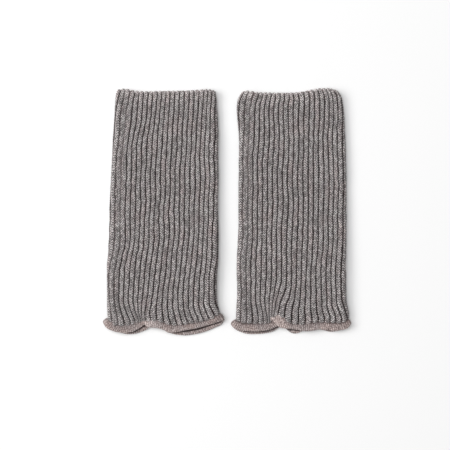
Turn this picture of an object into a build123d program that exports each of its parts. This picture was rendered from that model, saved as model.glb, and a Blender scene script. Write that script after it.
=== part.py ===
from build123d import *
import os

# A pair of fingerless gloves lying flat: two ribbed knit tubes, each with a wide opening for the arm
# at +Y and two banded openings, for the fingers and the thumb, at -Y. The gloves lie side by side
# along X, both with the thumb opening on their -X side, and rest on Z = 0. Sizes are in millimetres.

# Driving dimensions of the pair
GLOVE_LENGTH = 220.0
GLOVE_PITCH = 114.0
THICKNESS = 11.0
WALL = 2.4

# Flat widths of the tube, and where along it they hold
ARM_WIDTH = 92.0
WRIST_WIDTH = 97.0
PALM_WIDTH = 99.5
HEM_WIDTH = 107.0
WRIST_Y = 45.0
PALM_Y = -86.0
FLARE_Y = -103.0

# The hand end: bands, and the web where the front is tacked to the back between the openings
BAND_HEIGHT = 6.5
WEB_X = -16.5
WEB_Y = -98.0
TIP_Y = -97.0
BAND_GAP = 0.8
VALLEY_START_Y = -55.0
VALLEY_BASE = 4.0
VALLEY_MOUTH = 16.0
VALLEY_LEAST_SHARE = 0.05
VALLEY_CLEARANCE = 0.01
WEB_SLIT = 0.6

# Linking chains and the tack
CHAIN_DEPTH = 1.1
CHAIN_WIDTH = 1.6
TACK_LENGTH = 6.0
TACK_WIDTH = 2.0
TACK_PROUD = 0.5

ARM_Y = GLOVE_LENGTH / 2
HAND_Y = -GLOVE_LENGTH / 2
BELLY_Y = HAND_Y + BAND_HEIGHT
HALF_HEM = HEM_WIDTH / 2
MIDDLE_Z = THICKNESS / 2
MARGIN = 10.0


def slot_section(left, right, height, y):
    """A slot-shaped face across the glove at y, from x = left to x = right, centred in height."""
    centre = ((left + right) / 2, y, MIDDLE_Z)
    return Plane(origin=centre, x_dir=(1, 0, 0), z_dir=(0, 1, 0)) * SlotOverall(right - left, height)


def tube(inset, left=None, right=None):
    """The solid inside the glove's outer shape, drawn in by inset. left or right ends it in mid-width."""
    stations = [
        (HAND_Y - MARGIN, HEM_WIDTH),
        (FLARE_Y, HEM_WIDTH),
        (PALM_Y, PALM_WIDTH),
        (WRIST_Y, WRIST_WIDTH),
        (ARM_Y, ARM_WIDTH),
        (ARM_Y + MARGIN, ARM_WIDTH),
    ]
    sections = []
    for y, width in stations:
        low = -width / 2 if left is None else left
        high = width / 2 if right is None else right
        sections.append(slot_section(low + inset, high - inset, THICKNESS - 2 * inset, y))
    return loft(sections, ruled=True)


def valley(inset):
    """The dip in the front of the glove that runs down to the web, grown by inset."""
    depth_at_web = THICKNESS - (2 * WALL + WEB_SLIT)
    slope = depth_at_web / (VALLEY_START_Y - WEB_Y)
    sections = []
    for y in (VALLEY_START_Y, HAND_Y - MARGIN):
        share = (VALLEY_START_Y - y) / (VALLEY_START_Y - WEB_Y)
        mouth = VALLEY_BASE / 2 + (VALLEY_MOUTH - VALLEY_BASE) / 2 * max(share, VALLEY_LEAST_SHARE)
        floor = THICKNESS - slope * (VALLEY_START_Y - y) - inset - VALLEY_CLEARANCE
        top = THICKNESS + MARGIN
        outline = Polyline(
            (WEB_X - VALLEY_BASE / 2 - inset, y, floor),
            (WEB_X + VALLEY_BASE / 2 + inset, y, floor),
            (WEB_X + mouth + inset, y, THICKNESS - inset),
            (WEB_X + mouth + inset, y, top),
            (WEB_X - mouth - inset, y, top),
            (WEB_X - mouth - inset, y, THICKNESS - inset),
            close=True,
        )
        sections.append(make_face(outline))
    return loft(sections, ruled=True)


def below_hem(drop):
    """Everything on the hand side of the two hem curves, which run from edge to web to edge."""
    thumb_x = (WEB_X - HALF_HEM) / 2
    finger_x = (WEB_X + HALF_HEM) / 2
    edge = HALF_HEM + MARGIN
    bottom = HAND_Y - 2 * MARGIN
    outline = [
        Line((-edge, bottom), (-edge, TIP_Y - drop)),
        Line((-edge, TIP_Y - drop), (-HALF_HEM, TIP_Y - drop)),
        ThreePointArc((-HALF_HEM, TIP_Y - drop), (thumb_x, BELLY_Y - drop), (WEB_X, WEB_Y - drop)),
        ThreePointArc((WEB_X, WEB_Y - drop), (finger_x, BELLY_Y - drop), (HALF_HEM, TIP_Y - drop)),
        Line((HALF_HEM, TIP_Y - drop), (edge, TIP_Y - drop)),
        Line((edge, TIP_Y - drop), (edge, bottom)),
        Line((edge, bottom), (-edge, bottom)),
    ]
    face = make_face(outline)
    return Pos(0, 0, -MARGIN) * extrude(face, THICKNESS + 2 * MARGIN, dir=(0, 0, 1))


def arm_end():
    """Everything beyond the arm edge, to cut the tubes off square."""
    size = 2 * MARGIN
    return Pos(0, ARM_Y + size / 2, MIDDLE_Z) * Box(HEM_WIDTH + size, size, THICKNESS + size)


def side_seam():
    """The chain that closes the rib panel, let into the inside of the thumb-side edge."""
    chain = tube(WALL - CHAIN_DEPTH) - tube(WALL)
    strip_x = -HALF_HEM / 2
    strip = Pos(strip_x, 0, MIDDLE_Z) * Box(HALF_HEM, 2 * GLOVE_LENGTH, CHAIN_WIDTH)
    return (chain & strip) - below_hem(0) - arm_end()


def web_tack():
    """The bar of stitches through front and back, a little proud of the front."""
    web_height = 2 * WALL + WEB_SLIT
    height = web_height + TACK_PROUD
    y = WEB_Y + 2 * TACK_WIDTH
    outline = Pos(WEB_X, y, 0) * SlotOverall(TACK_LENGTH, TACK_WIDTH)
    return extrude(outline, height, dir=(0, 0, 1))


def rib_sleeve(seam, tack):
    """The knitted tube from the arm edge to the hem curves, open at both ends."""
    cavity = tube(WALL) - valley(WALL)
    body = tube(0) - valley(0) - cavity
    return body - below_hem(0) - arm_end() - seam - tack


def band_ring(inset, side):
    """The tube round one hand opening: side is -1 for the thumb and +1 for the fingers."""
    closing_x = WEB_X + side * BAND_GAP / 2
    if side < 0:
        return tube(inset, right=closing_x)
    return tube(inset, left=closing_x)


def band_strip(top, bottom):
    """The slice between the hem curves lowered by top and by bottom."""
    return below_hem(top) - below_hem(bottom)


def band_seam(side):
    """The linking chain let into the inside of one band, against the sleeve."""
    chain = band_ring(WALL - CHAIN_DEPTH, side) - band_ring(WALL, side)
    return chain & band_strip(0, CHAIN_WIDTH)


def band(side, seam):
    """The smooth band round one hand opening."""
    ring = band_ring(0, side) - band_ring(WALL, side)
    return (ring & band_strip(0, BAND_HEIGHT)) - seam


def glove_pieces():
    """All seven pieces of one glove, centred on X = 0."""
    seam = side_seam()
    tack = web_tack()
    thumb_seam = band_seam(-1)
    finger_seam = band_seam(1)
    return {
        "rib_sleeve": rib_sleeve(seam, tack),
        "thumb_band": band(-1, thumb_seam),
        "finger_band": band(1, finger_seam),
        "thumb_band_seam": thumb_seam,
        "finger_band_seam": finger_seam,
        "side_seam": seam,
        "web_tack": tack,
    }


os.makedirs("parts", exist_ok=True)
pieces = glove_pieces()
for glove, x in (("left", -GLOVE_PITCH / 2), ("right", GLOVE_PITCH / 2)):
    for name, piece in pieces.items():
        export_step(Pos(x, 0, 0) * piece, f"parts/{glove}_{name}.step")
        print(f"{glove}_{name}: {piece.volume:.0f} mm3")
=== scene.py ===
import math

import bpy
import numpy as np
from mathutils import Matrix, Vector


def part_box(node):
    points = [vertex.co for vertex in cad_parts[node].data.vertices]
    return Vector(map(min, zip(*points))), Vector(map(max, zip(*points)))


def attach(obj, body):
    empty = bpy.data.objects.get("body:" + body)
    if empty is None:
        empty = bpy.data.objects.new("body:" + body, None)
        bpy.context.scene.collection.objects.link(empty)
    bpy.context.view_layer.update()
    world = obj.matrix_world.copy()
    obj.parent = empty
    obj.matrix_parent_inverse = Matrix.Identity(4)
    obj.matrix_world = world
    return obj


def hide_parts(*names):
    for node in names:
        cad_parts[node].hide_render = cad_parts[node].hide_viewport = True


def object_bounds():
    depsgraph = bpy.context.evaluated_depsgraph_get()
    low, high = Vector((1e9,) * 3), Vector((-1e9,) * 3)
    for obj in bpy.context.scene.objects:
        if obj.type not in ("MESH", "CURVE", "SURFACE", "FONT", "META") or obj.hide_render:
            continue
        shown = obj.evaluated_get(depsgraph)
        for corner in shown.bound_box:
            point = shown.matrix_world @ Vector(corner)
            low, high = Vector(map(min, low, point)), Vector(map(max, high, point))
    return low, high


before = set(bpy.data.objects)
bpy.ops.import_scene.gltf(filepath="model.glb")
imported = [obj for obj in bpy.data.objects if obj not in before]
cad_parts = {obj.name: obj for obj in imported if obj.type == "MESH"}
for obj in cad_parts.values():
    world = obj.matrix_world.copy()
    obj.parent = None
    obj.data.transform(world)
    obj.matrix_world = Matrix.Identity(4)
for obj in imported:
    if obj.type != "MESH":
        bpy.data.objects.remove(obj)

cad_low, cad_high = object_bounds()

# Two ribbed fingerless gloves lying flat. Lengths are in millimetres until a mesh is made, and each
# glove is built about X = 0, the middle of its CAD sleeve. Along a sleeve, v runs from 0 at the arm
# edge to 1 at the hem. Round it, u runs from 0 at the thumb-side fold, over the front to the other
# fold at 0.5, and back underneath to 1.
MM = 0.001

# The ribs round a tube, the courses of stitches along it, and the rows of points in each course
RIBS = 44
COURSES = 94
ROWS_PER_COURSE = 5

# How far the ribs' tops stand out from the middle of the knit, how far that middle stops short of the
# outlines at the two ends, and the radius of the folds before the tube settles
SKIN = 1.5
ARM_INSET = SKIN / 2
HEM_INSET = SKIN * 0.7
FOLD_RADIUS = 2.5

# Heights over the floor: the middle of the back layer, and the lowest point of anything
BACK_Z = 2.1
LOWEST_Z = 0.02

# What tells the two gloves apart:
#   seed         starts the glove's random draws
#   thumb_edge   (v, x) down the outline on the thumb side
#   finger_edge  (v, x) down the outline on the finger side
#   arm_edge     (share of the width, y from the CAD arm edge), from the thumb side
#   hem_front    (x, y) along the end of the front's ribs, from the thumb side
#   hem_back     (x, y) along the end of the back's ribs, from the thumb side
#   web          x of the tack in the front layer and in the back layer
#   drift        (v, thumb side, middle, finger side): how far the ribs have shifted, in rib widths
#   lips         (x, y) along each band's front lip and back lip, from the fold to the web
#   lip_height   z of each front lip at the fold, halfway and at the web
#   painted_crease_shade  how dark the shade painted in the crease between each band and the ribs is, from 0
#   to 1
GLOVES = {
    "left": {
        "seed": 11,
        "thumb_edge": [(0, -42.2), (0.1, -43.6), (0.29, -46.1), (0.43, -47.7), (0.61, -48.6), (0.76, -50.2),
                       (0.9, -50.1), (1, -49.8)],
        "finger_edge": [(0, 47.0), (0.1, 48.6), (0.3, 49.6), (0.52, 49.5), (0.73, 49.4), (0.88, 47.9),
                        (0.95, 48.3), (1, 51.0)],
        "arm_edge": [(0, -3.0), (0.04, -1.9), (0.1, -2.0), (0.16, -3.0), (0.5, -3.6), (0.8, -2.9),
                     (0.94, -2.4), (1, -3.6)],
        "hem_front": [(-49.8, -95.5), (-44.6, -101.2), (-39, -102.6), (-30, -102.2), (-23.5, -100.4),
                      (-17.3, -99.0), (-12, -98.7), (-3, -98.9), (3, -101.2), (11, -102.5), (18, -102.2),
                      (27, -100.7), (38, -98.4), (46, -95.0), (51, -90.6)],
        "hem_back": [(-49.8, -95.5), (-42, -101.8), (-30, -104.5), (-20, -103.0), (-14, -99.8), (-4, -101.0),
                     (12, -103.6), (28, -102.2), (42, -96.6), (51, -90.6)],
        "web": (-17.3, -14.0),
        "drift": [(0, 1.9, 0.8, 1.6), (0.06, 1.3, 0.6, 1.1), (0.15, 0.6, 0.3, 0.6), (0.25, 0.1, 0.1, 0.2),
                  (0.5, 0.3, 0, 0), (0.65, 0.1, -0.2, -0.4), (0.85, -1.1, -0.65, -1.3),
                  (0.94, -1.1, -0.6, -0.9), (1, -0.9, -0.4, 0.4)],
        "lips": {
            "thumb": {
                "front": [(-53.8, -99.9), (-50.6, -104.3), (-45.1, -107.1), (-38, -108.7), (-31.1, -108.6),
                          (-27.1, -107.9), (-23.1, -106.0), (-19.8, -103.9), (-17.6, -101.8)],
                "back": [(-53.8, -99.9), (-50.2, -104.3), (-44, -107.6), (-37.1, -109.4), (-31.1, -110.4),
                         (-25.1, -109.8), (-19.1, -107.8), (-14.7, -106.0), (-12.3, -103.8)],
            },
            "finger": {
                "front": [(54.5, -97.9), (50.2, -98.9), (42.3, -101.4), (32.2, -104.3), (20.2, -106.6),
                          (10.5, -108.5), (4.6, -108.7), (0.6, -106.4), (-4.7, -104.7), (-10.2, -104.3),
                          (-14.7, -103.3), (-17.6, -100.6)],
                "back": [(54.5, -97.9), (51.8, -101.6), (46.2, -104.3), (39.8, -107.1), (33.7, -109.1),
                         (27.3, -110.4), (21.3, -111.3), (14.8, -111.1), (8, -109.9), (2, -107.6),
                         (-5, -104.4), (-12.5, -102.2)],
            },
        },
        "lip_height": {"thumb": (4.6, 5.4, 4.6), "finger": (4.8, 5.6, 5.6)},
        "painted_crease_shade": {"thumb": 0.3, "finger": 0.75},
    },
    "right": {
        "seed": 23,
        "thumb_edge": [(0, -44.6), (0.03, -47.2), (0.06, -48.1), (0.1, -47.9), (0.15, -47.1), (0.4, -47.0),
                       (0.56, -47.0), (0.75, -48.5), (0.9, -48.5), (1, -49.3)],
        "finger_edge": [(0, 42.6), (0.02, 45.2), (0.05, 46.6), (0.1, 47.6), (0.18, 48.6), (0.32, 49.5),
                        (0.6, 49.9), (0.88, 50.0), (0.94, 50.6), (0.98, 52.1), (1, 51.9)],
        "arm_edge": [(0, -4.6), (0.04, -3.3), (0.1, -4.4), (0.3, -5.0), (0.55, -5.0), (0.66, -3.9),
                     (0.73, -2.3), (0.8, -1.3), (0.93, -1.5), (1, -3.4)],
        "hem_front": [(-49.3, -97.5), (-44, -99.7), (-36, -100.4), (-26.9, -100.8), (-20, -100.9),
                      (-17.2, -99.6), (-15.0, -96.4), (-12.4, -93.9), (-9, -94.0), (-5, -96.8),
                      (-1, -99.8), (7, -101.7), (13.6, -101.4), (20, -100.3), (35.5, -100.0),
                      (43.9, -100.3), (48, -99.0), (51.9, -96.4)],
        "hem_back": [(-49.3, -97.5), (-42, -101.5), (-30, -103.0), (-20, -102.3), (-13, -99.8), (-4, -101.0),
                     (12, -103.0), (28, -102.6), (44, -101.2), (51.9, -96.4)],
        "web": (-15.2, -13.0),
        "drift": [(0, 1.6, 0.7, 1.7), (0.06, 1.1, 0.5, 1.3), (0.15, 0.4, 0.3, 0.9), (0.25, -0.1, 0.1, 0.6),
                  (0.5, -0.3, 0, 0.5), (0.65, -0.2, -0.1, 0.3), (0.86, -0.3, -0.3, -0.2),
                  (0.94, -0.4, -0.5, 0.3), (1, -0.5, -0.5, 1.4)],
        "lips": {
            "thumb": {
                "front": [(-53.3, -101.8), (-50.8, -104.5), (-44.5, -106.6), (-37.9, -107.4), (-24, -107.1),
                          (-18.9, -106.2), (-14.9, -104.6), (-11.2, -102.8)],
                "back": [(-53.3, -101.8), (-50.0, -105.5), (-44, -108.6), (-36.9, -110.2), (-31, -110.1),
                         (-23.9, -109.6), (-17.8, -108.5), (-13.9, -106.9), (-9.8, -103.8)],
            },
            "finger": {
                "front": [(53.5, -101.8), (50.5, -104.9), (45.4, -106.3), (40.5, -107.2), (34, -106.4),
                          (27, -105.8), (20.5, -106.8), (13, -107.4), (6, -106.2), (0, -105.4),
                          (-6, -104.8), (-10.2, -103.6), (-13.0, -101.4), (-14.8, -98.6), (-15.0, -95.8)],
                "back": [(53.5, -101.8), (50.5, -104.4), (42, -107.3), (35.5, -108.2), (30, -106.9),
                         (20, -105.5), (12, -107.0), (7, -109.1), (3.1, -109.7), (-0.6, -108.4),
                         (-4, -105.2), (-10.0, -102.6)],
            },
        },
        "lip_height": {"thumb": (4.6, 5.2, 4.6), "finger": (4.8, 5.6, 8.8)},
        "painted_crease_shade": {"thumb": 0.85, "finger": 0.85},
    },
}


# Numbers and curves

def through(points, t):
    """A smooth curve through points of (parameter, value, ...), read at t."""
    table = np.array(points, float)
    knots, values = table[:, 0], table[:, 1:]
    slopes = np.gradient(values, knots, axis=0)
    i = np.clip(np.searchsorted(knots, t) - 1, 0, len(knots) - 2)
    step = knots[i + 1] - knots[i]
    s = ((np.clip(t, knots[0], knots[-1]) - knots[i]) / step)[..., None]
    step = step[..., None]
    value = (
        (2 * s**3 - 3 * s**2 + 1) * values[i]
        + (s**3 - 2 * s**2 + s) * step * slopes[i]
        + (3 * s**2 - 2 * s**3) * values[i + 1]
        + (s**3 - s**2) * step * slopes[i + 1]
    )
    return value[..., 0] if values.shape[1] == 1 else value


def along_path(points, t):
    """A smooth plane curve through points, read at shares t of its length."""
    path = np.array(points, float)
    steps = np.linalg.norm(np.diff(path, axis=0), axis=1)
    shares = np.concatenate([[0], np.cumsum(steps)]) / steps.sum()
    return through(np.column_stack([shares, path]), t)


def ramp(low, high, x):
    """0 below low, 1 above high, and smooth between."""
    s = np.clip((x - low) / (high - low), 0, 1)
    return s * s * (3 - 2 * s)


def waves(rng, u, v, strength, around, along, count=7):
    """A smooth random field that closes round u: a sum of count waves, each with up to around turns
    round u and up to along cycles down v."""
    total = np.zeros(np.broadcast(u, v).shape)
    for _ in range(count):
        turns = rng.integers(-around, around + 1)
        rate = rng.uniform(0.3, 1) * along
        total = total + np.cos(2 * np.pi * (turns * u + rate * v + rng.random()))
    return strength * total / math.sqrt(count)


def unit(vectors):
    """The same directions at length 1."""
    return vectors / np.maximum(np.linalg.norm(vectors, axis=-1, keepdims=True), 1e-9)


# The drape: where the middle of the knit lies

def edges(spec, v):
    """The x of the middle surface at the thumb-side and the finger-side fold."""
    return through(spec["thumb_edge"], v) + SKIN, through(spec["finger_edge"], v) - SKIN


def tube_points(spec, arm_y, u, v):
    """The loose tube's middle surface, before it settles."""
    radius = FOLD_RADIUS
    left, right = edges(spec, v)
    flat = right - left - 2 * radius
    quarter = math.pi * radius / 2
    front = u <= 0.5
    way = np.where(front, u, 1 - u) * 2 * (flat + 2 * quarter)
    turn_in = np.clip(way / radius, 0, math.pi / 2)
    turn_out = np.clip((way - quarter - flat) / radius, 0, math.pi / 2)
    across = np.clip(way - quarter, 0, flat)
    x = left + radius * (1 - np.cos(turn_in)) + across + radius * np.sin(turn_out)
    lift = radius * (np.sin(turn_in) + np.cos(turn_out) - 1)
    z = BACK_Z + radius + np.where(front, lift, -lift)
    share = np.clip((x - left) / (right - left), 0, 1)
    end_left, end_right = edges(spec, 1.0)
    end_x = end_left + share * (end_right - end_left)
    hem = np.where(front, through(spec["hem_front"], end_x), through(spec["hem_back"], end_x)) + HEM_INSET
    start = arm_y + through(spec["arm_edge"], share) - ARM_INSET
    y = start + v * (hem - start)
    return np.stack([x, y, z], axis=-1)


def grid_mesh(name, points, wrap_rows, uv=None):
    """A mesh of quads over a grid of points in millimetres. Columns always wrap; rows do if asked.

    uv is each column's place in ribs and each row's place in courses."""
    rows, columns = points.shape[:2]
    face_rows = rows if wrap_rows else rows - 1
    i, j = np.meshgrid(np.arange(face_rows), np.arange(columns), indexing="ij")
    here, there = (i % rows) * columns, ((i + 1) % rows) * columns
    after = (j + 1) % columns
    quads = np.stack([here + j, here + after, there + after, there + j], axis=-1).reshape(-1, 4)
    mesh = bpy.data.meshes.new(name)
    mesh.vertices.add(rows * columns)
    mesh.vertices.foreach_set("co", (points.reshape(-1, 3) * MM).astype(np.float32).ravel())
    mesh.loops.add(quads.size)
    mesh.loops.foreach_set("vertex_index", quads.astype(np.int32).ravel())
    mesh.polygons.add(len(quads))
    mesh.polygons.foreach_set("loop_start", np.arange(0, quads.size, 4, dtype=np.int32))
    mesh.polygons.foreach_set("use_smooth", np.ones(len(quads), bool))
    mesh.update(calc_edges=True)
    if uv is not None:
        u_at, v_at = uv
        u_next = np.append(u_at[1:], u_at[0] + round(u_at[-1] - u_at[0] + 0.5))
        v_next = np.append(v_at[1:], v_at[-1])
        corners = np.stack([
            np.stack([u_at[j], v_at[i]], -1), np.stack([u_next[j], v_at[i]], -1),
            np.stack([u_next[j], v_next[i]], -1), np.stack([u_at[j], v_next[i]], -1),
        ], axis=2)
        layer = mesh.uv_layers.new(name="knit")
        layer.data.foreach_set("uv", corners.astype(np.float32).ravel())
    return mesh


def add_object(name, data):
    """A new object in the scene, for a mesh, a light or a camera."""
    thing = bpy.data.objects.new(name, data)
    bpy.context.scene.collection.objects.link(thing)
    return thing


def add_square(name, half):
    """A square of floor about the origin. half is from its middle to a side, in metres."""
    mesh = bpy.data.meshes.new(name)
    corners = [(-half, -half, 0), (half, -half, 0), (half, half, 0), (-half, half, 0)]
    mesh.from_pydata(corners, [], [(0, 1, 2, 3)])
    return add_object(name, mesh)


def paint(mesh, name, values):
    """Stores one number a vertex for the materials to read."""
    layer = mesh.attributes.new(name, "FLOAT", "POINT")
    layer.data.foreach_set("value", np.asarray(values, np.float32).ravel())


# The simulated tube's spans along and round it, its frames and scale, half the floor's side in metres,
# how far the cloth keeps from the floor, and the step between the middles of its two layers
SIM_ROWS = 46
SIM_COLUMNS = 44
SIM_FRAMES = 26
SIM_SCALE = 10
SIM_FLOOR_HALF = 3
FLOOR_GAP = 0.9
CLOTH_GAP = 1.0
LAYER_GAP = 3.4


def settle(side, points, pinned):
    """Drops a coarse cloth tube onto the floor and onto itself, and returns how far each point moved.

    It runs at ten times the real size, where the cloth solver's own tolerances are small."""
    size = SIM_SCALE * MM
    floor = add_square("sim_floor", SIM_FLOOR_HALF)
    floor.modifiers.new("Collision", "COLLISION")
    floor.collision.thickness_outer = FLOOR_GAP * size
    floor.collision.cloth_friction = 3
    tube = add_object(f"{side}_sim", grid_mesh(f"{side}_sim", points * SIM_SCALE, False))
    group = tube.vertex_groups.new(name="pin")
    group.add([int(n) for n in pinned], 1.0, "REPLACE")
    cloth = tube.modifiers.new("Cloth", "CLOTH")
    cloth.settings.quality = 8
    cloth.settings.mass = 0.3
    cloth.settings.tension_stiffness = 15
    cloth.settings.compression_stiffness = 15
    cloth.settings.shear_stiffness = 5
    cloth.settings.bending_stiffness = 0.15
    cloth.settings.air_damping = 2
    cloth.settings.vertex_group_mass = "pin"
    cloth.collision_settings.distance_min = CLOTH_GAP * size
    cloth.collision_settings.use_self_collision = True
    cloth.collision_settings.self_distance_min = LAYER_GAP / 2 * size
    cloth.collision_settings.self_friction = 1
    scene = bpy.context.scene
    for number in range(1, SIM_FRAMES + 1):
        scene.frame_set(number)
    settled = tube.evaluated_get(bpy.context.evaluated_depsgraph_get())
    after = np.zeros(points.size, np.float32)
    settled.data.vertices.foreach_get("co", after)
    scene.frame_set(1)
    for thing in (tube, floor):
        mesh = thing.data
        bpy.data.objects.remove(thing)
        bpy.data.meshes.remove(mesh)
    return after.reshape(points.shape) / size - points


def spread(grid, u, v):
    """A smooth surface through a coarse grid: cubic along v, and cubic and closed round u."""
    rows, columns = grid.shape[0] - 1, grid.shape[1]
    padded = np.concatenate([[2 * grid[0] - grid[1]], grid, [2 * grid[-1] - grid[-2]]])
    along, across = np.clip(v, 0, 1) * rows, (u % 1) * columns
    i, j = np.minimum(along.astype(int), rows - 1), across.astype(int)
    s, t = along - i, across - j
    total = 0
    for a, weight_a in enumerate(spline_weights(s)):
        for b, weight_b in enumerate(spline_weights(t)):
            beside = padded[np.minimum(i + a, rows + 2), (j + b - 1) % columns]
            total = total + (weight_a * weight_b)[..., None] * beside
    return total


def spline_weights(t):
    """The four weights of a uniform Catmull-Rom spline."""
    return (
        (2 * t**2 - t - t**3) / 2,
        (3 * t**3 - 5 * t**2 + 2) / 2,
        (t + 4 * t**2 - 3 * t**3) / 2,
        (t**3 - t**2) / 2,
    )


def smoothed(grid, times):
    """Averages a coarse grid with its neighbours, closed round u."""
    for _ in range(times):
        grid = (np.roll(grid, 1, axis=1) + 2 * grid + np.roll(grid, -1, axis=1)) / 4
        inner = (grid[:-2] + 2 * grid[1:-1] + grid[2:]) / 4
        grid = np.concatenate([grid[:1], inner, grid[-1:]])
    return grid


def web_u(spec, layer):
    """Where round the hem the web comes, on the front (0) or the back (1)."""
    u = np.linspace(0, 0.5, 400)
    x = tube_points(spec, 0, u, np.ones(400))[:, 0]
    found = np.interp(spec["web"][layer], x, u)
    return found if layer == 0 else 1 - found


# The valley in the front above the web: where it starts along v, and its width in ribs
VALLEY_START = 0.55
VALLEY_RIBS = 2.0
VALLEY_WIDENING = 2.5

# The cloth points that are pinned at the web: how near to it, in ribs, and from where along v
PIN_RIBS = 0.9
PIN_START = 0.975

# How often the moves are smoothed across the floor and in height, and the size of the front's waves
ACROSS_PASSES = 5
HEIGHT_PASSES = 1
FRONT_WAVE = 0.45


class Drape:
    """The middle surface of one sleeve, as it lies after the cloth has settled."""

    def __init__(self, side, spec, arm_y):
        self.web_front, self.web_back = web_u(spec, 0), web_u(spec, 1)
        u = np.arange(SIM_COLUMNS) / SIM_COLUMNS
        v = np.linspace(0, 1, SIM_ROWS + 1)
        u, v = np.broadcast_arrays(u[None], v[:, None])
        rng = np.random.default_rng(spec["seed"])
        start = tube_points(spec, arm_y, u, v)
        away = (u - self.web_front) * RIBS
        width = VALLEY_RIBS + VALLEY_WIDENING * ramp(0.8, 1, v)
        dip = ramp(VALLEY_START, 1.0, v) * np.exp(-((away / width) ** 2)) * (u < 0.5)
        start[..., 2] -= dip * (start[..., 2] - BACK_Z - LAYER_GAP)
        near = np.minimum(abs(u - self.web_front), abs(u - self.web_back)) * RIBS < PIN_RIBS
        pinned = np.flatnonzero((near & (v > PIN_START)).ravel())
        moved = settle(side, start, pinned)
        moved[..., :2] = smoothed(moved[..., :2], ACROSS_PASSES)
        moved[..., 2:] = smoothed(moved[..., 2:], HEIGHT_PASSES)
        # The two ends keep to their outlines, so what they moved along Y is taken off each column.
        moved[..., 1] -= (1 - v) * moved[0, :, 1] + v * moved[-1, :, 1]
        self.grid = start + moved
        self.grid[..., 0] = self.fit_width(spec, v, self.grid[..., 0])
        lift = waves(rng, u, v, FRONT_WAVE, 3, 4) * np.sin(2 * np.pi * np.minimum(u, 0.5))
        self.grid[..., 2] = np.maximum(self.grid[..., 2] + np.maximum(lift, 0), BACK_Z)

    def fit_width(self, spec, v, x):
        """Stretches each row a little, so that its folds lie on the glove's outline."""
        left, right = edges(spec, v[:, :1])
        low, high = x.min(axis=1, keepdims=True), x.max(axis=1, keepdims=True)
        return left + (x - low) * (right - left) / (high - low)

    def __call__(self, u, v):
        """The points of the surface at u and v."""
        return spread(self.grid, u, v)


# The knit: ribs and stitches on the drape

# How much straighter the ribs run on the back, and how near to a fold their lean dies out
BACK_STRAIGHTER = 0.7
FOLD_SHARE = 0.04

# The ribs' own bends, in rib widths: long ones and short ones
LONG_BEND = 0.085
SHORT_BEND = 0.04

# How much the ribs run together at the web, over how many of them, and from where along v
WEB_PINCH = 0.68
WEB_PINCH_RIBS = 3.8
WEB_PINCH_START = 0.87


def rib_lines(spec, rng, rows):
    """Where each groove runs: u of every rib's start, a row of them for each v."""
    v = rows[:, None]
    k = np.arange(RIBS + 1)[None] % RIBS
    u = k / RIBS
    share = np.where(u < 0.5, u / 0.5, (1 - u) / 0.5)
    drift = through(spec["drift"], rows)
    low, middle, high = drift[:, :1], drift[:, 1:2], drift[:, 2:3]
    thumb_side = low + (middle - low) * share * 2
    finger_side = middle + (high - middle) * (share - 0.5) * 2
    behind = np.minimum(np.maximum(u - 0.5, 0), 1 - u)
    straighter = 1 - BACK_STRAIGHTER * ramp(0, 0.15, behind)
    off_fold = np.sin(np.pi * np.clip(share, FOLD_SHARE, 1 - FOLD_SHARE)) ** 0.4
    lean = np.where(share < 0.5, thumb_side, finger_side) * straighter * off_fold
    bends = waves(rng, u, v, LONG_BEND, 6, 6, 16) + waves(rng, u, v, SHORT_BEND, 16, 20, 16)
    shift = lean + bends
    for web in (web_u(spec, 0), web_u(spec, 1)):
        away = (u - web) * RIBS
        pinch = WEB_PINCH * away * np.exp(-((away / WEB_PINCH_RIBS) ** 2))
        shift = shift - pinch * ramp(WEB_PINCH_START, 1.0, v)
    grooves = np.arange(RIBS + 1)[None] + shift
    return grooves / RIBS


# Places across a rib, from its groove at -0.5 over its crest at 0, closer together near the grooves
COLUMN_PLACES = np.array([
    -0.5, -0.45, -0.4, -0.34, -0.25, -0.17, -0.08,
    0, 0.08, 0.17, 0.25, 0.34, 0.4, 0.45,
])

# A rib's section: its height, the floor of its grooves, the depth and width of the crease down its
# crest, and how far the shade painted into a groove reaches
RIDGE_HEIGHT = 1.9
GROOVE_LEVEL = -0.35
CREASE = 0.2
CREASE_WIDTH = 0.06
GROOVE_EDGE = (0.02, 0.2)

# A stitch: how far its legs lean, in courses, how far they stand out up and sideways, and how much
# the courses wander and the ribs' heights differ
LEG_SLOPE = 0.85
LEG_RELIEF = 0.45
LEG_BULGE = 0.3
COURSE_WANDER = 0.3
HEIGHT_CHANGE = 0.05

# The inside of the knit, which is the same ribs seen from behind, half a rib along
INNER_DEPTH = 0.9
INNER_RELIEF = 0.7

# The two ends: how far the ribs stand out past the grooves, how far the rounded rims reach for their
# thickness, and the courses that a rim takes up
END_NOTCH = 1.4
HEM_RIM_REACH = 1.0
ARM_RIM_REACH = 1.25
RIM_COURSES = (0.3, 2.3)


def ridge_shape(r):
    """A rib's height across its width: r is -0.5 and 0.5 in the grooves and 0 on the crest."""
    return np.sqrt(np.maximum(0, 1 - np.abs(2 * r) ** 3))


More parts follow.
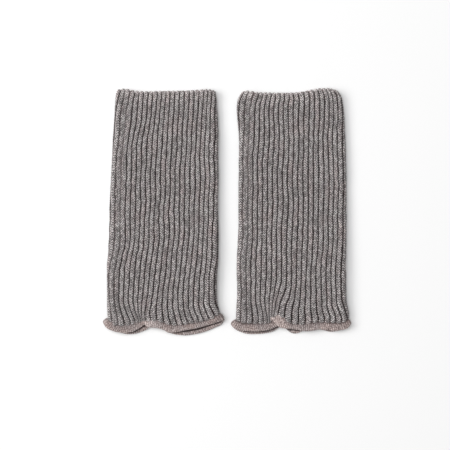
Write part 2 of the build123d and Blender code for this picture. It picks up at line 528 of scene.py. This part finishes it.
def sleeve_mesh(side, spec, drape):
    """The ribbed tube: outside with stitches, hem rim, inside, and arm rim, closed into one skin.

    Each rib is two stitches wide, so it shows four leaning legs side by side."""
    rng = np.random.default_rng(spec["seed"] + 1)
    rows = np.linspace(0, 1, COURSES * ROWS_PER_COURSE + 1)
    lines = rib_lines(spec, rng, rows)
    rib = np.repeat(np.arange(RIBS), len(COLUMN_PLACES))
    r = np.tile(COLUMN_PLACES, RIBS)
    u = lines[:, rib] * (0.5 - r) + lines[:, rib + 1] * (0.5 + r)
    v = np.broadcast_to(rows[:, None], u.shape)
    middle = drape(u % 1, v)
    across = unit(np.roll(middle, -1, axis=1) - np.roll(middle, 1, axis=1))
    along = unit(np.gradient(middle, axis=0))
    out = unit(np.cross(along, across))
    near_ends = np.exp(-v * COURSES / 2) - np.exp(-(1 - v) * COURSES / 2)
    notch = END_NOTCH * (2 * r) ** 2 * near_ends
    middle = middle + along * notch[..., None]

    lobe = stitch_legs(rng, r, u, v)
    fill = groove_fill(rib, r, v)
    uneven = 1 + waves(rng, u, v, HEIGHT_CHANGE, 12, 14, 12)
    ridge = ridge_shape(r)
    height = GROOVE_LEVEL + RIDGE_HEIGHT * np.maximum(ridge, fill) * uneven
    height = height + LEG_RELIEF * (lobe - 0.5) * ridge
    height = height - CREASE * np.exp(-((r / CREASE_WIDTH) ** 2))
    on_side = np.sin(np.pi * np.abs(2 * r)) ** 2 * (np.abs(r) > 0.3)
    bulge = LEG_BULGE * np.sign(r) * (lobe - 0.5) * on_side
    outer = middle + out * height[..., None] + across * bulge[..., None]

    inner_depth = INNER_DEPTH + INNER_RELIEF * ridge_shape((r + 1) % 1 - 0.5)
    keep = np.arange(0, len(rows), ROWS_PER_COURSE)
    inner = middle[keep] - out[keep] * inner_depth[None, :, None]

    hem_rim = rim(middle[-1], out[-1], along[-1], height[-1], inner_depth, HEM_RIM_REACH)
    arm_rim = rim(middle[0], out[0], -along[0], height[0], inner_depth, ARM_RIM_REACH)
    points = np.concatenate([outer, hem_rim, inner[::-1], arm_rim[::-1]])
    points[..., 2] = np.maximum(points[..., 2], LOWEST_Z)
    v_at = np.concatenate([
        rows * COURSES,
        COURSES + np.linspace(*RIM_COURSES, len(hem_rim)),
        rows[keep][::-1] * COURSES,
        -np.linspace(*RIM_COURSES[::-1], len(arm_rim)),
    ])
    mesh = grid_mesh(f"{side}_rib_sleeve", points, True, (rib + r + 0.5, v_at))

    # Painted shade, stored as "ridge": dark down the grooves outside and inside, darker between the
    # stitches' legs, and darker over both rims
    crest = ramp(*GROOVE_EDGE, 0.5 - np.abs(r))
    inner_crest = ramp(*GROOVE_EDGE, np.abs(r))
    painted_shading = np.concatenate([
        np.maximum(crest, fill) * (0.6 + 0.4 * np.clip(lobe * 1.2, 0, 1)),
        np.tile(0.2 + 0.8 * crest, (len(hem_rim), 1)),
        np.tile(inner_crest, (len(keep), 1)),
        np.tile(0.3 + 0.7 * crest, (len(arm_rim), 1)),
    ])
    paint(mesh, "ridge", painted_shading)
    return mesh


def stitch_legs(rng, r, u, v):
    """How far the stitches' legs swell, from 0 between two legs to 1 on one."""
    course = v * COURSES + waves(rng, u, v, COURSE_WANDER, 8, 6, 10)
    over_leg = np.abs(np.abs(r) - 0.25) * 4
    leg = (course - LEG_SLOPE * over_leg) % 1
    round_leg = np.sqrt(np.maximum(0, 1 - (2 * leg - 1) ** 2))
    return round_leg * np.sin(np.pi * np.clip(over_leg, 0.12, 0.88))


def rim(middle, out, end, height, inner_depth, reach):
    """Rows that round the knit's end over, from the outside to the inside."""
    centre, half = (height - inner_depth) / 2, (height + inner_depth) / 2
    rows = []
    for turn in np.linspace(0, math.pi, 8)[1:-1]:
        level = centre + half * math.cos(turn)
        push = half * math.sin(turn) * reach
        rows.append(middle + out * level[:, None] + end * push[:, None])
    return np.array(rows)


def groove_fill(rib, r, v):
    """How far a groove is filled: the ribs by the side seam run together, most of all halfway along."""
    groove = np.where(r < 0, rib, rib + 1) % RIBS
    beside, next_one = 0.52, 0.5 + 0.2 * ramp(0.02, 0.1, v) * (1 - ramp(0.55, 0.75, v))
    filled = np.where(groove == 1, beside, np.where(groove == 2, next_one, 0))
    return np.where(np.abs(r) > 0.3, filled, 0)


# Bands

# A band's half thickness, the height of its back lip, and the share of the way to the web over which
# its front and back lips part from the fold
BAND_HALF = 1.2
BACK_LIP_Z = 1.5
TIP_SHARE = 0.07

# The band's wales: their spacing, their relief, how dark the shade painted between them is, and the
# courses down the band and round its lip
WALE_PITCH = 1.9
WALE_RELIEF = 0.2
WALE_SHADE = 0.55
BAND_COURSES = 4
LIP_COURSES = 3

# Shares of a band's depth: how far up its outside and its inside are tucked into the sleeve, and where
# its rounded lip starts
OUTER_START = -0.12
INNER_START = -0.15
LIP_START = 0.82

# The inside of the back lip, seen through the opening: the roll left unshaded, the gap before it where
# shade is painted, and how softly each ends
ROLL_WIDTH = 2.8
ROLL_FADE = 0.8
GAP_WIDTH = 1.2
GAP_FADE = 0.4

# The points of a band's edge as first worked out, and as spaced evenly
RING_POINTS = 200
EVEN_POINTS = 600


def ring_pair(spec, drape, lobe_name):
    """A band's lip and its seam with the sleeve, as closed rings, and two marks for each of their points:
    0 on the front to 1 on the back, and the share of the way from the fold to the web."""
    thumb = lobe_name == "thumb"
    lips = spec["lips"][lobe_name]
    half = RING_POINTS // 2
    s = np.linspace(0, 1, half)
    ones = np.ones(half)
    front_fold, back_fold = (0, 1) if thumb else (0.5, 0.5)
    front = drape(front_fold + (drape.web_front - front_fold) * s, ones)
    back = drape((back_fold + (drape.web_back - back_fold) * s) % 1, ones)

    at_tip, halfway, at_web = spec["lip_height"][lobe_name]
    top = through([(0, at_tip), (0.5, halfway), (0.85, (halfway + at_web) / 2), (1, at_web)], s)
    lip_front = np.column_stack([along_path(lips["front"], s), top])
    lip_back = np.column_stack([along_path(lips["back"], s), np.full(half, BACK_LIP_Z)])
    opening = np.sqrt(np.clip(1 - (1 - np.clip(s / TIP_SHARE, 0, 1)) ** 2, 0, 1))
    tip_z = (at_tip + BACK_LIP_Z) / 2
    for lip in (lip_front, lip_back):
        lip[:, 2] = tip_z + (lip[:, 2] - tip_z) * opening

    turn = np.linspace(0, math.pi, 12)[1:-1]
    web_way = np.array([1 if thumb else -1, 0, 0])

    def closed(a, b):
        """Front and back joined at the web by half a turn that bulges towards the other band."""
        mid, arm = (a[-1] + b[-1]) / 2, (a[-1] - b[-1]) / 2
        bulge = abs(arm[2]) * web_way
        joint = [mid + arm * math.cos(t) + bulge * math.sin(t) for t in turn]
        return np.concatenate([a, joint, b[::-1][:-1]])

    behind = np.concatenate([np.zeros(half), np.linspace(0, 1, len(turn)), np.ones(half - 1)])
    share = np.concatenate([s, np.ones(len(turn)), s[::-1][:-1]])
    return closed(lip_front, lip_back), closed(front, back), np.column_stack([behind, share])


def resample(rings, count):
    """Spaces the points of several rings evenly by the first one's length, and returns that length too."""
    closed = [np.vstack([ring, ring[:1]]) for ring in rings]
    steps = np.linalg.norm(np.diff(closed[0], axis=0), axis=1)
    way = np.concatenate([[0], np.cumsum(steps)])
    at = np.linspace(0, way[-1], count, endpoint=False)
    return [np.column_stack([np.interp(at, way, column) for column in ring.T]) for ring in closed], way[-1]


def smooth_ring(ring, times):
    """Averages each point of a closed ring with its neighbours."""
    for _ in range(times):
        ring = (np.roll(ring, 1, axis=0) + 2 * ring + np.roll(ring, -1, axis=0)) / 4
    return ring


def back_roll(spec, lobe_name, point, to_edge):
    """1 on the rolled edge of the back lip, which is left unshaded, and 0 in the gap between it and the
    front lip, where shade is painted.
    """
    front = along_path(spec["lips"][lobe_name]["front"], np.linspace(0, 1, 200))
    front = front[np.argsort(front[:, 0])]
    beyond = np.interp(point[:, 0], front[:, 0], front[:, 1]) - point[:, 1]
    on_roll = 1 - ramp(ROLL_WIDTH, ROLL_WIDTH + ROLL_FADE, to_edge)
    past_gap = ramp(GAP_WIDTH - GAP_FADE, GAP_WIDTH + GAP_FADE, beyond)
    return on_roll * past_gap


def band_mesh(name, spec, drape, lobe_name):
    """A folded band of fine knit: its outside, its rounded lip and its inside, closed into one skin."""
    rings, length = resample(ring_pair(spec, drape, lobe_name), EVEN_POINTS)
    columns = round(length / WALE_PITCH) * 4
    (lip, seam, marks), _ = resample([smooth_ring(ring, 6) for ring in rings], columns)
    behind, share = marks.T
    # Where the finger band's flap turns up at the web: painted lighter as a highlight, with less painted
    # shade
    turned_up = 0.9 * ramp(0.7, 0.93, share) * (1 - behind) if lobe_name == "finger" else 0
    around = unit(np.roll(lip, -1, axis=0) - np.roll(lip, 1, axis=0))
    down = unit(lip - seam)
    out = unit(np.cross(down, around))
    if lobe_name == "finger":
        out = -out
    wale = np.cos(2 * np.pi * np.arange(columns) / 4)
    # Painted shade between the wales
    painted_wale_shade = 1 - WALE_SHADE * (1 - 0.5 * turned_up) * (0.5 - 0.5 * wale)
    deep = lip - seam
    depth = np.linalg.norm(deep, axis=1)
    rows, v_at, painted_shading = [], [], []
    # The outside, from where it is tucked into the sleeve to the lip: painted shade in the crease by the
    # ribs, and a painted highlight towards the lip and over the turned-up flap
    for t in np.linspace(OUTER_START, LIP_START, 12):
        thick = BAND_HALF * (0.1 + 0.9 * ramp(-0.1, 0.35, t))
        belly = 0.5 * math.sin(math.pi * max(t, 0))
        rows.append(seam + deep * t + out * (thick + belly + WALE_RELIEF * wale)[:, None])
        v_at.append(t * BAND_COURSES)
        painted_crease_shade = spec["painted_crease_shade"][lobe_name] * (1 - ramp(0.03, 0.36, t)) * (1 - turned_up)
        painted_shading.append((0.8 - 0.76 * painted_crease_shade + 0.2 * np.maximum(ramp(0.5, 0.8, t), turned_up)) * painted_wale_shade)
    # The rounded lip, with painted shade on the underside of the front lip
    edge = seam + deep * LIP_START
    for turn in np.linspace(0, math.pi, 9)[1:-1]:
        level = BAND_HALF * math.cos(turn) + WALE_RELIEF * wale * math.sin(turn + 0.2)
        rows.append(edge + out * level[:, None] + down * (depth * 0.2 * math.sin(turn))[:, None])
        v_at.append(LIP_START * BAND_COURSES + turn)
        painted_shading.append(painted_wale_shade * (1 - 0.3 * ramp(0.5, 1.0, turn / math.pi) * (1 - behind)))
    # The inside: painted shade all over, except on the back lip's roll
    for t in np.linspace(LIP_START, INNER_START, 18):
        point = seam + deep * t
        roll = back_roll(spec, lobe_name, point, (1 - t) * depth)
        front_level = BAND_HALF * (0.55 + 0.45 * ramp(-0.15, 0.45, t))
        level = front_level * (1 - behind) + (0.3 + (BAND_HALF - 0.3) * roll) * behind
        rows.append(point - out * (level + 0.05 * wale)[:, None])
        v_at.append(BAND_COURSES + LIP_COURSES - t * BAND_COURSES)
        painted_shading.append((0.3 * (1 - behind) + (0.04 + 0.92 * roll) * behind) * painted_wale_shade)
    points = np.array(rows)
    points[..., 2] = np.maximum(points[..., 2], LOWEST_Z)
    painted_shading = np.array(painted_shading)
    if lobe_name == "finger":
        points, painted_shading = points[:, ::-1], painted_shading[:, ::-1]
    mesh = grid_mesh(name, points, True, (np.arange(columns) / 4, np.array(v_at)))
    paint(mesh, "ridge", painted_shading)
    return mesh


# Thread pieces: the chains that join the bands and close the tube, and the tack at the web

# The spacing and widths of the chains' links, and the radius of each piece's yarn
LINK_PITCH = 2.3
BAND_LINK_WIDTH = 1.2
SIDE_LINK_WIDTH = 1.3
BAND_YARN = 0.22
SIDE_YARN = 0.25
TACK_YARN = 0.3

# How far each chain lies inside the knit's edge, and where along v the side seam starts and ends
BAND_CHAIN_INSET = 0.8
SIDE_CHAIN_INSET = 1.9
SIDE_CHAIN_SPAN = (0.004, 0.985)

# The tack: its stitches, the step between them, where along v it lies, its half width along Y, its
# lowest point, and how far it stands over the front layer's middle
TACK_STITCHES = 5
TACK_STEP = 0.75
TACK_V = 0.985
TACK_HALF_WIDTH = 0.9
TACK_LOW = 0.5
TACK_PROUD = 1.2


def loops_mesh(name, loops, radius, sides=6):
    """One mesh of closed thread loops, each a list of points in millimetres."""
    points, quads, start = [], [], 0
    for loop in loops:
        ahead = unit(np.roll(loop, -1, axis=0) - np.roll(loop, 1, axis=0))
        aside = unit(np.cross(ahead, np.array([0.3, 0.2, 0.93])))
        above = np.cross(aside, ahead)
        for n in range(sides):
            angle = 2 * math.pi * n / sides
            points.append(loop + radius * (aside * math.cos(angle) + above * math.sin(angle)))
        count = len(loop)
        i, j = np.meshgrid(np.arange(sides), np.arange(count), indexing="ij")
        here, there = i * count, (i + 1) % sides * count
        after = (j + 1) % count
        ring = np.stack([here + j, here + after, there + after, there + j], -1)
        quads.append(ring.reshape(-1, 4) + start)
        start += sides * count
    mesh = bpy.data.meshes.new(name)
    mesh.from_pydata((np.concatenate(points) * MM).tolist(), [], np.concatenate(quads).tolist())
    mesh.polygons.foreach_set("use_smooth", np.ones(len(mesh.polygons), bool))
    return mesh


def chain_loops(path, outs, width):
    """Linked stitches along a path, lying on the side that outs points to.

    Each is a rounded loop that narrows ahead, where it rises over the next one."""
    steps = np.linalg.norm(np.diff(path, axis=0), axis=1)
    way = np.concatenate([[0], np.cumsum(steps)])

    def read(points, at):
        return np.array([np.interp(at, way, points[:, axis]) for axis in range(3)])

    links = max(3, int(way[-1] / LINK_PITCH))
    turn = np.linspace(0, 2 * math.pi, 14, endpoint=False)
    long = 0.78 * LINK_PITCH * np.cos(turn)
    wide = width / 2 * np.sin(turn) * (1 - 0.35 * np.cos(turn))
    lift = 0.22 * np.cos(turn)
    loops = []
    for n in range(links):
        at = (n + 0.5) * way[-1] / links
        ahead = unit(read(path, at + 0.5) - read(path, at - 0.5))
        out = unit(read(outs, at))
        aside = unit(np.cross(ahead, out))
        loops.append(read(path, at) + long[:, None] * ahead + wide[:, None] * aside + lift[:, None] * out)
    return loops


def tack_loops(drape):
    """Stitches side by side through both layers at the web."""
    one = np.ones(1)
    top = drape(np.array([drape.web_front]), one * TACK_V)[0]
    bottom = drape(np.array([drape.web_back]), one * TACK_V)[0]
    turn = np.linspace(0, 2 * math.pi, 24, endpoint=False)
    half_z = (top[2] + TACK_PROUD - TACK_LOW) / 2
    z = TACK_LOW + half_z + half_z * np.sign(np.sin(turn)) * np.abs(np.sin(turn)) ** 0.6
    y = top[1] + TACK_HALF_WIDTH * np.cos(turn)
    loops = []
    for n in range(TACK_STITCHES):
        x = (top[0] + bottom[0]) / 2 + (n - TACK_STITCHES // 2) * TACK_STEP
        loops.append(np.column_stack([np.full(len(turn), x), y, z]))
    return loops


# Materials

def shader(name):
    """A new material, its node tree and its shader node."""
    material = bpy.data.materials.new(name)
    material.use_nodes = True
    tree = material.node_tree
    return material, tree, tree.nodes["Principled BSDF"]


def add_node(tree, kind, **settings):
    """A new node, with each setting given to the input of that name, or else to the node itself."""
    node = tree.nodes.new(kind)
    for key, value in settings.items():
        if key in node.inputs:
            node.inputs[key].default_value = value
        else:
            setattr(node, key, value)
    return node


def math_node(tree, operation, first, second=None):
    """The result of one calculation on numbers or other nodes' outputs."""
    node = tree.nodes.new("ShaderNodeMath")
    node.operation = operation
    for slot, value in enumerate((first, second)):
        if value is None:
            continue
        if isinstance(value, (int, float)):
            node.inputs[slot].default_value = value
        else:
            tree.links.new(value, node.inputs[slot])
    return node.outputs[0]


def point_node(tree, *values):
    """A point made of up to three other nodes' outputs."""
    node = tree.nodes.new("ShaderNodeCombineXYZ")
    for socket, value in zip(node.inputs, values):
        tree.links.new(value, socket)
    return node.outputs[0]


def noise_node(tree, where, scale, detail, roughness=0.5):
    """Smooth noise from 0 to 1, read at where."""
    node = add_node(tree, "ShaderNodeTexNoise", Scale=scale, Detail=detail, Roughness=roughness)
    tree.links.new(where, node.inputs["Vector"])
    return node.outputs["Fac"]


def colour_ramp(tree, factor, stops):
    """The colour for a factor, read between stops of (place, colour)."""
    node = tree.nodes.new("ShaderNodeValToRGB")
    elements = node.color_ramp.elements
    while len(elements) < len(stops):
        elements.new(0.5)
    for element, (position, colour) in zip(elements, stops):
        element.position = position
        element.color = (*colour, 1)
    tree.links.new(factor, node.inputs["Fac"])
    return node.outputs["Color"]


def multiply_colours(tree, first, second):
    """The product of two colours."""
    node = add_node(tree, "ShaderNodeMix", data_type="RGBA", blend_type="MULTIPLY", Factor=1.0)
    colour_inputs = [socket for socket in node.inputs if socket.type == "RGBA"]
    for socket, value in zip(colour_inputs, (first, second)):
        tree.links.new(value, socket)
    return [socket for socket in node.outputs if socket.type == "RGBA"][0]


def shade_by_ridge(tree, colour, stops):
    """Multiplies a colour by the painted shade and highlight stored on the mesh."""
    ridge = add_node(tree, "ShaderNodeAttribute", attribute_name="ridge")
    return multiply_colours(tree, colour, colour_ramp(tree, ridge.outputs["Fac"], stops))


def finish_knit(material, colour, height, bump_strength, bump_distance, finish):
    """Ties a knit's colour and bump to its shader, and sets the values that are the same all over it."""
    tree = material.node_tree
    bsdf = tree.nodes["Principled BSDF"]
    tree.links.new(colour, bsdf.inputs["Base Color"])
    for name, value in finish.items():
        bsdf.inputs[name].default_value = value
    bump = add_node(tree, "ShaderNodeBump", Strength=bump_strength, Distance=bump_distance)
    tree.links.new(height, bump.inputs["Height"])
    tree.links.new(bump.outputs[0], bsdf.inputs["Normal"])
    return material


def marl_material():
    """Two-ply marl yarn: light and dark flecks that follow each stitch's legs, with shade painted down the
    grooves.
    """
    material, tree, _ = shader("marl_rib_knit")

    def calculate(operation, first, second=None):
        return math_node(tree, operation, first, second)

    uv = add_node(tree, "ShaderNodeUVMap", uv_map="knit")
    split = tree.nodes.new("ShaderNodeSeparateXYZ")
    tree.links.new(uv.outputs[0], split.inputs[0])
    rib, course = split.outputs[0], split.outputs[1]

    # Where along its own leg a point lies, and which of a rib's four legs that is
    side = calculate("SUBTRACT", calculate("FRACT", rib), 0.5)
    over_leg = calculate("ABSOLUTE", calculate("SUBTRACT", calculate("ABSOLUTE", side), 0.25))
    stack = calculate("SUBTRACT", course, calculate("MULTIPLY", over_leg, 4 * LEG_SLOPE))
    lane = calculate("FLOOR", calculate("MULTIPLY", rib, 4.0))
    yarn = point_node(tree, calculate("MULTIPLY", rib, 6.0), calculate("MULTIPLY", stack, 2.6), lane)
    fuzz = noise_node(tree, yarn, 1.0, 1.0)

    # The plies follow each other along a leg, a light one after each dark one, each with its own tone.
    # A floored modulo also holds past the arm edge, where the courses are negative.
    lane_start = add_node(tree, "ShaderNodeTexWhiteNoise", noise_dimensions="1D")
    tree.links.new(lane, lane_start.inputs["W"])
    twist_start = calculate("MULTIPLY", lane_start.outputs["Value"], 2.0)
    twist = calculate("ADD", calculate("MULTIPLY", stack, 2.0), twist_start)
    ply = calculate("FLOOR", calculate("ADD", twist, fuzz))
    ply_tone = add_node(tree, "ShaderNodeTexWhiteNoise", noise_dimensions="2D")
    tree.links.new(point_node(tree, lane, ply), ply_tone.inputs["Vector"])
    light_ply = calculate("MULTIPLY", calculate("FLOORED_MODULO", ply, 2.0), 0.46)
    fleck = calculate("ADD", calculate("MULTIPLY", ply_tone.outputs["Value"], 0.34), light_ply)
    fleck = calculate("ADD", fleck, calculate("MULTIPLY", fuzz, 0.2))
    colour = colour_ramp(tree, fleck, [
        (0.12, (0.022, 0.018, 0.018)), (0.34, (0.077, 0.067, 0.067)), (0.50, (0.187, 0.169, 0.168)),
        (0.66, (0.385, 0.36, 0.357)), (0.88, (0.71, 0.675, 0.67)),
    ])

    # Slow changes of tint along the ribs, and a lighter arm edge
    streak = point_node(tree, calculate("MULTIPLY", rib, 0.8), calculate("MULTIPLY", course, 0.11))
    tint = colour_ramp(tree, noise_node(tree, streak, 1.0, 2.0), [
        (0.32, (0.96, 0.975, 0.97)), (0.5, (1.0, 1.0, 1.0)), (0.68, (1.04, 0.985, 0.98)),
    ])
    colour = multiply_colours(tree, colour, tint)
    arm_end = colour_ramp(tree, calculate("MULTIPLY", course, 0.2), [
        (0.0, (1.35, 1.33, 1.32)), (1.0, (1.0, 1.0, 1.0)),
    ])
    colour = multiply_colours(tree, colour, arm_end)
    # Painted shade from the mesh: near black down the grooves, darker between the stitches' legs and on the
    # rims
    colour = shade_by_ridge(tree, colour, [
        (0.0, (0.05, 0.033, 0.033)), (0.3, (0.12, 0.09, 0.09)), (0.62, (0.72, 0.69, 0.69)),
        (0.88, (1, 1, 1)),
    ])
    finish = {
        "Roughness": 0.88,
        "Sheen Weight": 0.12,
        "Sheen Roughness": 0.5,
        "Specular IOR Level": 0.25,
    }
    return finish_knit(material, colour, fleck, 0.5, 0.0003, finish)


def band_material():
    """Fine plain knit, taupe, with faint wales."""
    material, tree, _ = shader("plain_band_knit")
    where = tree.nodes.new("ShaderNodeTexCoord").outputs["Object"]
    speck = noise_node(tree, where, 900.0, 3.0, 0.6)
    colour = colour_ramp(tree, speck, [
        (0.34, (0.17, 0.14, 0.133)), (0.5, (0.38, 0.325, 0.313)), (0.66, (0.72, 0.65, 0.63)),
    ])
    tint = colour_ramp(tree, noise_node(tree, where, 90.0, 2.0), [
        (0.35, (0.90, 0.91, 0.92)), (0.65, (1.05, 1.0, 0.98)),
    ])
    colour = multiply_colours(tree, colour, tint)
    # Painted shade in the creases and inside the opening, and a painted highlight on the lips' edges and the
    # flap
    colour = shade_by_ridge(tree, colour, [
        (0.0, (0.10, 0.075, 0.075)), (0.4, (0.49, 0.46, 0.46)), (0.8, (0.91, 0.89, 0.89)),
        (1.0, (1.33, 1.30, 1.29)),
    ])
    finish = {"Roughness": 0.85, "Sheen Weight": 0.15, "Specular IOR Level": 0.25}
    return finish_knit(material, colour, speck, 0.35, 0.0002, finish)


def yarn_material():
    """The darker linking yarn."""
    material, tree, _ = shader("linking_yarn")
    where = tree.nodes.new("ShaderNodeTexCoord").outputs["Object"]
    speck = noise_node(tree, where, 1400.0, 2.0)
    colour = colour_ramp(tree, speck, [(0.35, (0.10, 0.085, 0.08)), (0.65, (0.26, 0.23, 0.22))])
    finish = {"Roughness": 0.85, "Sheen Weight": 0.1}
    return finish_knit(material, colour, speck, 0.4, 0.0001, finish)


def floor_material():
    """The plain pale floor."""
    material, _, bsdf = shader("pale_floor")
    bsdf.inputs["Base Color"].default_value = (0.9, 0.9, 0.9, 1)
    bsdf.inputs["Roughness"].default_value = 0.9
    bsdf.inputs["Specular IOR Level"].default_value = 0.1
    return material


# Building each glove

def finish_piece(name, mesh, material, body, centre_x):
    """Moves a mesh to its glove, ties it to its body and its material, and hides its CAD node."""
    points = np.zeros(len(mesh.vertices) * 3, np.float32)
    mesh.vertices.foreach_get("co", points)
    points = points.reshape(-1, 3)
    points[:, 0] += centre_x * MM
    mesh.vertices.foreach_set("co", points.ravel())
    mesh.update()
    mesh.materials.append(material)
    piece = add_object(f"{name}_knit", mesh)
    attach(piece, body)
    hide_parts(name)
    return piece


def band_chain_mesh(name, spec, drape, lobe_name):
    """The chain that joins a band to the sleeve, just inside the seam between them."""
    seam = ring_pair(spec, drape, lobe_name)[1]
    inward = unit(seam.mean(axis=0) - seam)
    path = np.vstack([seam, seam[:1]]) + np.array([0, BAND_CHAIN_INSET, 0])
    outs = np.vstack([inward, inward[:1]])
    return loops_mesh(name, chain_loops(path, outs, BAND_LINK_WIDTH), BAND_YARN)


def side_chain_mesh(name, drape):
    """The chain that closes the rib panel into a tube, just inside the thumb-side fold."""
    v = np.linspace(*SIDE_CHAIN_SPAN, 120)
    edge = drape(np.zeros(len(v)), v)
    inside = np.tile(np.array([1.0, 0, 0]), (len(v), 1))
    path = edge + inside * SIDE_CHAIN_INSET
    return loops_mesh(name, chain_loops(path, inside, SIDE_LINK_WIDTH), SIDE_YARN)


def build_glove(side, spec, materials):
    """Makes a glove's seven pieces and ties each to the glove's body."""
    low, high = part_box(f"{side}_rib_sleeve")
    centre_x = (low[0] + high[0]) / 2 / MM
    drape = Drape(side, spec, high[1] / MM)

    def add_piece(name, mesh, slot):
        """Finishes a piece of this glove. Its material has the name of its slot."""
        return finish_piece(name, mesh, materials[slot], f"{side}_glove", centre_x)

    sleeve = add_piece(f"{side}_rib_sleeve", sleeve_mesh(side, spec, drape), "marl_rib_knit")
    bands, chains = [], []
    for lobe_name in ("thumb", "finger"):
        name = f"{side}_{lobe_name}_band"
        bands.append(add_piece(name, band_mesh(name, spec, drape, lobe_name), "plain_band_knit"))
        name = f"{side}_{lobe_name}_band_seam"
        chains.append(add_piece(name, band_chain_mesh(name, spec, drape, lobe_name), "linking_yarn"))
    name = f"{side}_side_seam"
    chains.append(add_piece(name, side_chain_mesh(name, drape), "linking_yarn"))
    name = f"{side}_web_tack"
    chains.append(add_piece(name, loops_mesh(name, tack_loops(drape), TACK_YARN), "linking_yarn"))


# The stage, the lights and the camera. Lengths here are in metres.

FLOOR_HALF = 6
SKY_STRENGTH = 0.27


def build_stage():
    """The floor, and even light from all round."""
    floor = add_square("floor", FLOOR_HALF)
    floor.data.materials.append(floor_material())
    world = bpy.data.worlds.new("studio")
    bpy.context.scene.world = world
    world.use_nodes = True
    background = world.node_tree.nodes["Background"]
    background.inputs["Color"].default_value = (1, 1, 1, 1)
    background.inputs["Strength"].default_value = SKY_STRENGTH


def soft_box(name, location, size, power):
    """A rectangular light that points at the gloves."""
    data = bpy.data.lights.new(name, "AREA")
    data.shape = "RECTANGLE"
    data.size, data.size_y = size
    data.energy = power
    light = add_object(name, data)
    light.location = location
    light.rotation_euler = (-Vector(location)).to_track_quat("-Z", "Y").to_euler()


def build_lights():
    """A large soft box overhead, and one from the left."""
    soft_box("top_box", (-0.5, 0.35, 2.7), (2.2, 2.3), 49)
    soft_box("left_box", (-2.2, 0.45, 1.85), (2.1, 1.25), 50)


# The width of the view at the floor, the camera's height, how far it stands off the middle of the CAD
# box, and its sensor's width in millimetres
VIEW_WIDTH = 0.404
CAMERA_HEIGHT = 1.1
CAMERA_OFFSET = (-0.0018, -0.0126)
SENSOR_WIDTH = 36


def build_camera():
    """The camera, straight above the gloves."""
    data = bpy.data.cameras.new("camera")
    data.sensor_width = SENSOR_WIDTH
    data.lens = data.sensor_width * CAMERA_HEIGHT / VIEW_WIDTH
    camera = add_object("camera", data)
    x, y = [(cad_low[axis] + cad_high[axis]) / 2 + CAMERA_OFFSET[axis] for axis in (0, 1)]
    camera.location = (x, y, CAMERA_HEIGHT)
    bpy.context.scene.camera = camera


build_camera()
build_lights()
build_stage()
bpy.context.scene.view_settings.view_transform = "Standard"
# The knit's flecks are only about a millimetre long, so the denoiser takes its guides unsmoothed.
bpy.context.scene.cycles.denoising_prefilter = "NONE"
made = {
    "marl_rib_knit": marl_material(),
    "plain_band_knit": band_material(),
    "linking_yarn": yarn_material(),
}
for glove_side, glove_spec in GLOVES.items():
    build_glove(glove_side, glove_spec, made)
